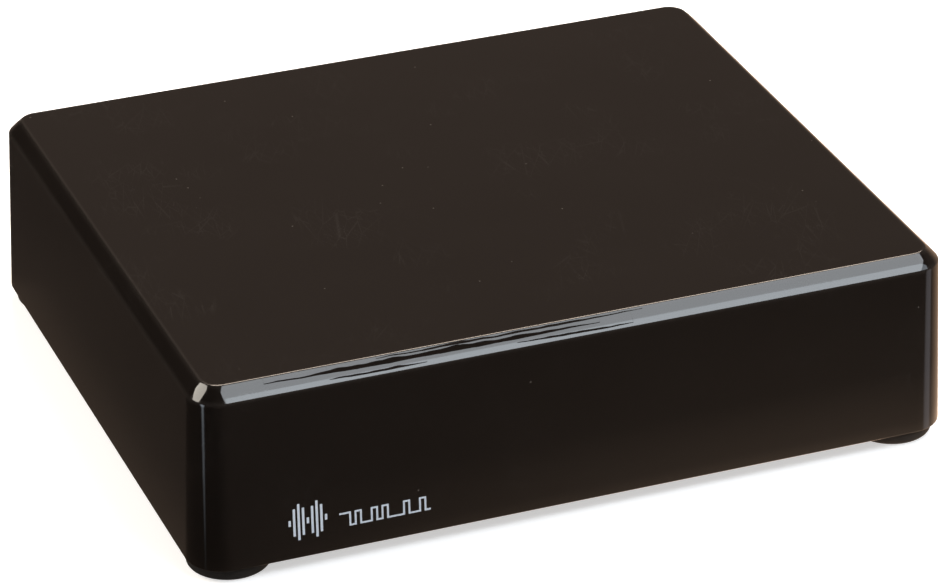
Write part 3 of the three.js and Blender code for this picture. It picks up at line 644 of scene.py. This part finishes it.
def front_patch(corners, points, faces):
    """Adds one flat inked patch, given by its corners anticlockwise as seen from the front."""
    first = len(points)
    count = len(corners)
    for proud in (-INK_THICKNESS, INK_THICKNESS):
        points += [on_front(along, up, proud) for along, up in corners]
    faces.append([first + count + i for i in range(count)])
    faces.append([first + i for i in reversed(range(count))])
    for i in range(count):
        after = (i + 1) % count
        faces.append([first + i, first + after, first + count + after, first + count + i])


def upright_patch(left, right, low, high, points, faces):
    """Adds one inked rectangle, given along the front and up it."""
    front_patch([(left, low), (right, low), (right, high), (left, high)], points, faces)


def wave_mark(points, faces):
    """Upright bars that swell and shrink like a sampled wave."""
    pitch = (MARK_SIZE - LINE_WIDTH) / (MARK_BARS - 1)
    middle = MARK_Z + MARK_SIZE / 2
    for i in range(MARK_BARS):
        swell = abs(math.sin(2 * math.pi * i / (MARK_BARS - 1)))
        half = MARK_SIZE / 2 * (SHORTEST_BAR + (1 - SHORTEST_BAR) * swell)
        left = MARK_X + i * pitch
        upright_patch(left, left + LINE_WIDTH, middle - half, middle + half, points, faces)


def pulse_run(points, faces):
    """A run of square pulses, drawn as one line that steps up and down."""
    unit = PULSE_LENGTH / sum(PULSE_WIDTHS)
    left, high = PULSE_X, True
    for i, width in enumerate(PULSE_WIDTHS):
        up = PULSE_Z + (PULSE_HEIGHT - PULSE_LINE if high else 0)
        right = left + width * unit
        last = i == len(PULSE_WIDTHS) - 1
        start = left - (PULSE_LINE / 2 if i else 0)
        end = right + (0 if last else PULSE_LINE / 2)
        upright_patch(start, end, up, up + PULSE_LINE, points, faces)
        if not last:
            low, top = PULSE_Z + PULSE_LINE, PULSE_Z + PULSE_HEIGHT - PULSE_LINE
            upright_patch(right - PULSE_LINE / 2, right + PULSE_LINE / 2, low, top, points, faces)
        left, high = right, not high


def front_print():
    """A generic sampled-wave mark, and a run of pulses beside it."""
    points, faces = [], []
    wave_mark(points, faces)
    pulse_run(points, faces)
    return make_object("front_print", mesh_from("front_print", points, faces))


finish_piece(front_print(), INK)


# ------------------------------------------------------------------ feet

FOOT_EDGE = 0.8            # rounding of the sole's rim
FOOT_BROW = 0.25           # rounding of the disc's upper rim
STEM_RADIUS = 2.0
STEM_FILLET = 0.2
BARB_RADIUS = 2.7
BARB_CHAMFER = (0.1, 0.25)               # at the barb's widest: inwards, and up
BARB_NOSE = ((0.7, 0.15), (0.6, 0.0))    # radius as a share of the stem's, and distance from the tip
SOLE_START = -80           # where the rim's arc starts, in degrees, just clear of the flat sole


def foot(corner):
    low, high = box_mm(f"foot_{corner}")
    middle = (low + high) / 2
    radius = (high.x - low.x) / 2
    disc_top = CASE_BOTTOM - FIT_GAP
    barb_low = box_mm("rear_panel")[0].z - FIT_GAP + CLOSE_GAP
    profile = [
        (0, 0),
        (radius - FOOT_EDGE, 0),
        *arc((radius - FOOT_EDGE, FOOT_EDGE), FOOT_EDGE, SOLE_START, 0, 6),
        *arc((radius - FOOT_BROW, disc_top - FOOT_BROW), FOOT_BROW, 0, 90, 3),
        (STEM_RADIUS + STEM_FILLET, disc_top),
        (STEM_RADIUS, disc_top + STEM_FILLET),
        (STEM_RADIUS, barb_low),
        (BARB_RADIUS, barb_low),
        (BARB_RADIUS - BARB_CHAMFER[0], barb_low + BARB_CHAMFER[1]),
        *((STEM_RADIUS * share, high.z - below) for share, below in BARB_NOSE),
        (0, high.z),
    ]
    piece = turned(f"rubber_foot_{corner}", profile, (middle.x, middle.y, 0))
    shade_smooth(piece)
    return piece


for corner_name in ("front_left", "front_right", "back_left", "back_right"):
    node = f"foot_{corner_name}"
    finish_piece(foot(corner_name), MATERIALS["rubber_black"], stands_for=[node])


# ------------------------------------------------------------------ phono sockets

PHONO_SLEEVE_WALL = 0.7
PHONO_LIP = 0.28           # rolled edge of the sleeve's mouth
INSULATOR_RIM = 0.45       # flat left at each side of the hollow in the insulator's face
INSULATOR_DISH = 0.5       # depth of that ring-shaped hollow
DISH_BEVEL = 0.12          # at the hollow's edges
DISH_DRAFT = 0.06          # how much narrower the hollow is at its bottom
INSULATOR_EDGE = 0.1       # chamfer outside, against the sleeve
INSULATOR_BORE_EDGE = 0.08
PHONO_HOLE_RADIUS = 1.62   # for the plug's pin
CONTACT_FLOOR = 0.66
CONTACT_EDGE = 0.1
CONTACT_SLOT_WIDTH = 0.3
CONTACT_SLOT_DEPTH = 3.5
CONTACT_STEPS = 48
SLOT_CLEAR = 1.0           # how far the cutter for a slot passes the contact


def phono_place(node):
    """The middle of a socket's inner end, and the length and radius of the piece, in millimetres."""
    low, high = box_mm(node)
    middle = (low + high) / 2
    return (middle.x, low.y, middle.z), high.y - low.y, (high.x - low.x) / 2


def phono_sleeve(socket):
    place, length, radius = phono_place(f"{socket}_sleeve")
    bore = radius - PHONO_SLEEVE_WALL
    profile = [
        (bore, 0),
        (radius, 0),
        (radius, length - PHONO_LIP),
        *arc((radius - PHONO_LIP, length - PHONO_LIP), PHONO_LIP, 15, 90, 5),
        *arc((bore + PHONO_LIP, length - PHONO_LIP), PHONO_LIP, 105, 180, 5),
        (bore, 0),
    ]
    return turned(f"{socket}_shell", profile, place, "Y")


def phono_insulator(socket):
    place, length, radius = phono_place(f"{socket}_insulator")
    inner = phono_place(f"{socket}_contact")[2] + CLOSE_GAP
    collar = inner + INSULATOR_RIM
    rim = radius - INSULATOR_RIM
    dish = length - INSULATOR_DISH
    sunk = length - DISH_BEVEL
    slope = DISH_BEVEL + DISH_DRAFT
    profile = [
        (inner, 0), (radius, 0),
        (radius, length - INSULATOR_EDGE), (radius - INSULATOR_EDGE, length),
        (rim, length), (rim - DISH_BEVEL, sunk), (rim - slope, dish),
        (collar + slope, dish), (collar + DISH_BEVEL, sunk), (collar, length),
        (inner + INSULATOR_BORE_EDGE, length), (inner, length - INSULATOR_BORE_EDGE), (inner, 0),
    ]
    return turned(f"{socket}_ring", profile, place, "Y")


def phono_contact(socket):
    place, length, radius = phono_place(f"{socket}_contact")
    bore = PHONO_HOLE_RADIUS
    mouth = length - CONTACT_EDGE
    profile = [
        (0, 0), (radius, 0), (radius, mouth), (radius - CONTACT_EDGE, length),
        (bore + CONTACT_EDGE, length), (bore, mouth), (bore, CONTACT_FLOOR), (0, CONTACT_FLOOR),
    ]
    piece = turned(f"{socket}_tube", profile, place, "Y", CONTACT_STEPS)
    x, y, z = place
    end = y + length
    across, thin = radius + SLOT_CLEAR, CONTACT_SLOT_WIDTH / 2
    for reach_x, reach_z in ((across, thin), (thin, across)):
        low = (x - reach_x, end - CONTACT_SLOT_DEPTH, z - reach_z)
        high = (x + reach_x, end + SLOT_CLEAR, z + reach_z)
        combine(piece, block("slot", low, high), "DIFFERENCE")
    return piece


PHONO_EDGE = 0.04          # rounding of the edges of all three pieces

for socket_name in ("line_output_left", "line_output_right", "coaxial_input"):
    for part, make in (("sleeve", phono_sleeve), ("insulator", phono_insulator), ("contact", phono_contact)):
        node = f"{socket_name}_{part}"
        made_piece = make(socket_name)
        bevel(made_piece, PHONO_EDGE, 30, 2)
        slot_name = NODE_SLOTS[node]
        finish_piece(made_piece, MATERIALS[slot_name], stands_for=[node])


# ------------------------------------------------------------------ CAD nodes that keep their shape

# Rounding of the edges, by material slot. The slots left out stay as they are.
ROUNDING = {
    "matt_black": 0.15, "socket_black": 0.15, "shutter_black": 0.08, "chip_black": 0.06,
    "board_laminate": 0.05, "can_sleeve": 0.08, "ferrite": 0.1, "zinc_steel": 0.04,
    "black_steel": 0.06, "nickel": 0.05,
}

for node, piece in frame["nodes"].items():
    slot_name = NODE_SLOTS[node]
    piece.data.materials.clear()
    piece.data.materials.append(MATERIALS[slot_name])
    if slot_name in ROUNDING:
        bevel(piece, ROUNDING[slot_name], 35, 2)


# ------------------------------------------------------------------ stage, light and camera

CAMERA_AZIMUTH = math.radians(20.92)     # the camera stands this far to the left of the front
CAMERA_ELEVATION = math.radians(28.02)
CAMERA_ROLL = math.radians(-0.40)
CAMERA_DISTANCE = 0.8201
CAMERA_LENS = 174.17
SENSOR_WIDTH = 36
AIM_RIGHT = 0.00248                      # the middle of the view, from the middle of the case
AIM_DOWN = 0.00507

WARM = (1.0, 0.76, 0.62)

FLOOR_SIZE = 30.0                        # from its middle to each edge, in metres
FLOOR_GLOW = 0.55

# The glow card: how bright it is at each distance outside the case's plan, in millimetres.
CARD_RINGS = [(-4.0, 2.0), (3.0, 1.0), (10.0, 0.45), (30.0, 0.14), (70.0, 0.05), (160.0, 0.0)]
CARD_HEIGHT = -0.5
CARD_COLOUR = (1.0, 0.7, 0.5)
CARD_CORNER_STEPS = 8
CARD_SIDES = (-0.085, 0.06, 0.04, 1.0)   # the card is dim at the left and bright at the right

# The room's brightness by height, from straight down to straight up.
ROOM = [
    (-1.0, 0.03), (-0.6, 0.07), (-0.42, 0.1), (-0.1, 0.26),
    (0.2, 0.22), (0.5, 0.21), (0.75, 0.12), (1.0, 0.1),
]
ROOM_SIDES = (-0.55, 0.2, 0.2, 1.0)      # the room is dim at the left too

# Bright openings in the room, seen as lines and soft bands in the rounded corners:
# [direction, half angle in degrees, brightness, colour]
OPENINGS = [
    ((-0.893, -0.31, -0.3225), 6.8, 4.2, (0.8, 0.9, 1.0)),
    ((0.8, -0.41, -0.433), 10.5, 0.75, (0.96, 0.92, 1.0)),
    ((0.78, 0.45, -0.33), 34, 0.5, (1.0, 0.62, 0.38)),
]
OPENING_CORE, OPENING_RIM = 0.5, 1.4     # where an opening's full light ends, and where all ends

# [name, azimuth and elevation in degrees, distance and size in metres, radiance, colour, roll,
# and whether glossy surfaces mirror it]
SOFTBOXES = [
    ("key_softbox", 42, 55, 1.3, (0.98, 0.6), 5.8, (0.9, 0.95, 1.0), 0, True),
    ("left_softbox", -112, 42, 1.3, (0.8, 0.6), 9, (1.0, 0.93, 0.82), 0, True),
    ("edge_softbox", 42, 44.5, 1.3, (0.98, 0.14), 3.4, (0.8, 0.91, 1.0), -27, True),
    ("overhead_softbox", 151, 50, 1.5, (0.7, 0.6), 16, (1.0, 0.84, 0.7), 0, True),
    ("rear_softbox", 130, 30, 1.3, (0.5, 0.5), 5, (1.0, 0.97, 0.93), 0, False),
]


def add_camera():
    view = Vector((
        math.sin(CAMERA_AZIMUTH) * math.cos(CAMERA_ELEVATION),
        math.cos(CAMERA_AZIMUTH) * math.cos(CAMERA_ELEVATION),
        -math.sin(CAMERA_ELEVATION),
    ))
    level = Vector((math.cos(CAMERA_AZIMUTH), -math.sin(CAMERA_AZIMUTH), 0))
    turn = Matrix.Rotation(-CAMERA_ROLL, 3, view)
    right = turn @ level
    up = right.cross(view)
    target = CASE_MIDDLE * MM + right * AIM_RIGHT - up * AIM_DOWN
    camera = bpy.data.objects.new("camera", bpy.data.cameras.new("camera"))
    camera.data.lens = CAMERA_LENS
    camera.data.sensor_width = SENSOR_WIDTH
    camera.data.clip_start = 0.05
    camera.data.clip_end = 20
    turned_to = Matrix((right, up, -view)).transposed().to_4x4()
    camera.matrix_world = Matrix.Translation(target - view * CAMERA_DISTANCE) @ turned_to
    bpy.context.scene.collection.objects.link(camera)
    bpy.context.scene.camera = camera


def add_floor():
    """A pale floor that the case doesn't mirror; the glow card stands in for it in the gloss."""
    size = FLOOR_SIZE
    points = [(-size, -size, 0), (size, -size, 0), (size, size, 0), (-size, size, 0)]
    floor = make_object("floor", mesh_from("floor", points, [(0, 1, 2, 3)], 1.0))
    made = Material("floor")
    made.set(Roughness=0.9, Emission_Strength=FLOOR_GLOW)
    made.shader.inputs["Emission Color"].default_value = (1, 1, 1, 1)
    made.shader.inputs["Specular IOR Level"].default_value = 0.1
    made.colour(made.blend(made.noise(300, 2), (0.8, 0.8, 0.8), (0.83, 0.83, 0.83)))
    floor.data.materials.append(made.data)
    floor.visible_glossy = False


def add_glow_card():
    """A sheet under the floor, seen only in reflections: bright by the case, and fading from it."""
    points, faces, glows = [], [], []
    for distance, glow in CARD_RINGS:
        outline = card_outline(distance)
        points += [(x, y, CARD_HEIGHT) for x, y in outline]
        glows += [glow] * len(outline)
    count = len(points) // len(CARD_RINGS)
    for ring in range(len(CARD_RINGS) - 1):
        for i in range(count):
            after = (i + 1) % count
            low, high = ring * count, (ring + 1) * count
            faces.append((low + i, high + i, high + after, low + after))
    card = make_object("glow_card", mesh_from("glow_card", points, faces))
    attribute = card.data.attributes.new("glow", "FLOAT", "POINT")
    for point, glow in zip(attribute.data, glows):
        point.value = glow
    made = bpy.data.materials.new("glow_card")
    made.use_nodes = True
    tree = made.node_tree
    tree.nodes.clear()
    glow_node = tree.nodes.new("ShaderNodeAttribute")
    glow_node.attribute_name = "glow"
    parts = tree.nodes.new("ShaderNodeSeparateXYZ")
    tree.links.new(tree.nodes.new("ShaderNodeNewGeometry").outputs["Position"], parts.inputs["Vector"])
    side = tree.nodes.new("ShaderNodeMapRange")
    side.interpolation_type = "SMOOTHSTEP"
    for socket, value in zip(("From Min", "From Max", "To Min", "To Max"), CARD_SIDES):
        side.inputs[socket].default_value = value
    tree.links.new(parts.outputs["X"], side.inputs["Value"])
    dimmed = tree.nodes.new("ShaderNodeMath")
    dimmed.operation = "MULTIPLY"
    tree.links.new(glow_node.outputs["Fac"], dimmed.inputs[0])
    tree.links.new(side.outputs["Result"], dimmed.inputs[1])
    emission = tree.nodes.new("ShaderNodeEmission")
    emission.inputs["Color"].default_value = (*CARD_COLOUR, 1)
    clear = tree.nodes.new("ShaderNodeBsdfTransparent")
    mixed = tree.nodes.new("ShaderNodeAddShader")
    output = tree.nodes.new("ShaderNodeOutputMaterial")
    tree.links.new(dimmed.outputs["Value"], emission.inputs["Strength"])
    tree.links.new(emission.outputs[0], mixed.inputs[0])
    tree.links.new(clear.outputs[0], mixed.inputs[1])
    tree.links.new(mixed.outputs[0], output.inputs["Surface"])
    card.data.materials.append(made)
    card.visible_camera = False
    card.visible_diffuse = False
    card.visible_shadow = False


def card_outline(distance):
    """The case's plan, grown by a distance, with the same count of points all the way out."""
    radius = CORNER_RADIUS + max(distance, 0)
    points = []
    for quarter in range(4):
        middle = math.radians(45 + 90 * quarter)
        x = CASE_MIDDLE.x + math.copysign(CASE_WIDTH / 2 + distance - radius, math.cos(middle))
        y = CASE_MIDDLE.y + math.copysign(CASE_DEPTH / 2 + distance - radius, math.sin(middle))
        for step in range(CARD_CORNER_STEPS + 1):
            angle = math.radians(90 * (quarter + step / CARD_CORNER_STEPS))
            points.append((x + radius * math.cos(angle), y + radius * math.sin(angle)))
    return points


def add_softbox(name, azimuth, elevation, distance, size, radiance, colour, roll, mirrored):
    """A rectangular light facing the case, placed by its direction from it, in degrees."""
    a, e = math.radians(azimuth), math.radians(elevation)
    towards = Vector((math.sin(a) * math.cos(e), -math.cos(a) * math.cos(e), math.sin(e)))
    light = bpy.data.lights.new(name, "AREA")
    light.shape = "RECTANGLE"
    light.size, light.size_y = size
    light.energy = radiance * math.pi * size[0] * size[1]
    light.color = colour
    lamp = bpy.data.objects.new(name, light)
    lamp.location = CASE_MIDDLE * MM + towards * distance
    facing = towards.to_track_quat("Z", "Y").to_matrix() @ Matrix.Rotation(math.radians(roll), 3, "Z")
    lamp.rotation_euler = facing.to_euler()
    lamp.visible_camera = False
    lamp.visible_glossy = mirrored
    bpy.context.scene.collection.objects.link(lamp)


class World:
    """The dim studio round the case, as background nodes."""

    def __init__(self):
        world = bpy.data.worlds.new("studio")
        bpy.context.scene.world = world
        world.use_nodes = True
        self.tree = world.node_tree
        self.direction = self.tree.nodes.new("ShaderNodeTexCoord").outputs["Generated"]
        self.parts = self.tree.nodes.new("ShaderNodeSeparateXYZ")
        self.tree.links.new(self.direction, self.parts.inputs["Vector"])

    def between(self, source, low, high, to_low=0.0, to_high=1.0):
        made = self.tree.nodes.new("ShaderNodeMapRange")
        made.interpolation_type = "SMOOTHSTEP"
        self.tree.links.new(source, made.inputs["Value"])
        for socket, value in zip(("From Min", "From Max", "To Min", "To Max"), (low, high, to_low, to_high)):
            made.inputs[socket].default_value = value
        return made.outputs["Result"]

    def combine(self, operation, first, second):
        made = self.tree.nodes.new("ShaderNodeVectorMath")
        made.operation = operation
        for socket, value in zip(made.inputs, (first, second)):
            if isinstance(value, tuple):
                socket.default_value = value
            else:
                self.tree.links.new(value, socket)
        return made.outputs["Value" if operation == "DOT_PRODUCT" else "Vector"]

    def build(self):
        height = self.tree.nodes.new("ShaderNodeMapRange")
        height.inputs["From Min"].default_value = -1
        self.tree.links.new(self.parts.outputs["Z"], height.inputs["Value"])
        ramp = self.tree.nodes.new("ShaderNodeValToRGB")
        self.tree.links.new(height.outputs["Result"], ramp.inputs["Fac"])
        elements = ramp.color_ramp.elements
        elements.remove(elements[1])
        for i, (level, brightness) in enumerate(ROOM):
            stop = elements[0] if i == 0 else elements.new((level + 1) / 2)
            stop.position = (level + 1) / 2
            stop.color = (*(channel * brightness for channel in WARM), 1)
        left_dim = self.between(self.parts.outputs["X"], *ROOM_SIDES)
        total = self.combine("MULTIPLY", ramp.outputs["Color"], left_dim)
        for direction, half_angle, brightness, colour in OPENINGS:
            facing = self.combine("DOT_PRODUCT", self.direction, direction)
            edge = math.cos(math.radians(half_angle * OPENING_RIM))
            core = math.cos(math.radians(half_angle * OPENING_CORE))
            lobe = self.between(facing, edge, core, 0.0, brightness)
            total = self.combine("ADD", total, self.combine("MULTIPLY", lobe, colour))
        self.tree.links.new(total, self.tree.nodes["Background"].inputs["Color"])


add_camera()
add_floor()
add_glow_card()
World().build()
for softbox in SOFTBOXES:
    add_softbox(*softbox)
bpy.context.scene.view_settings.view_transform = "Standard"
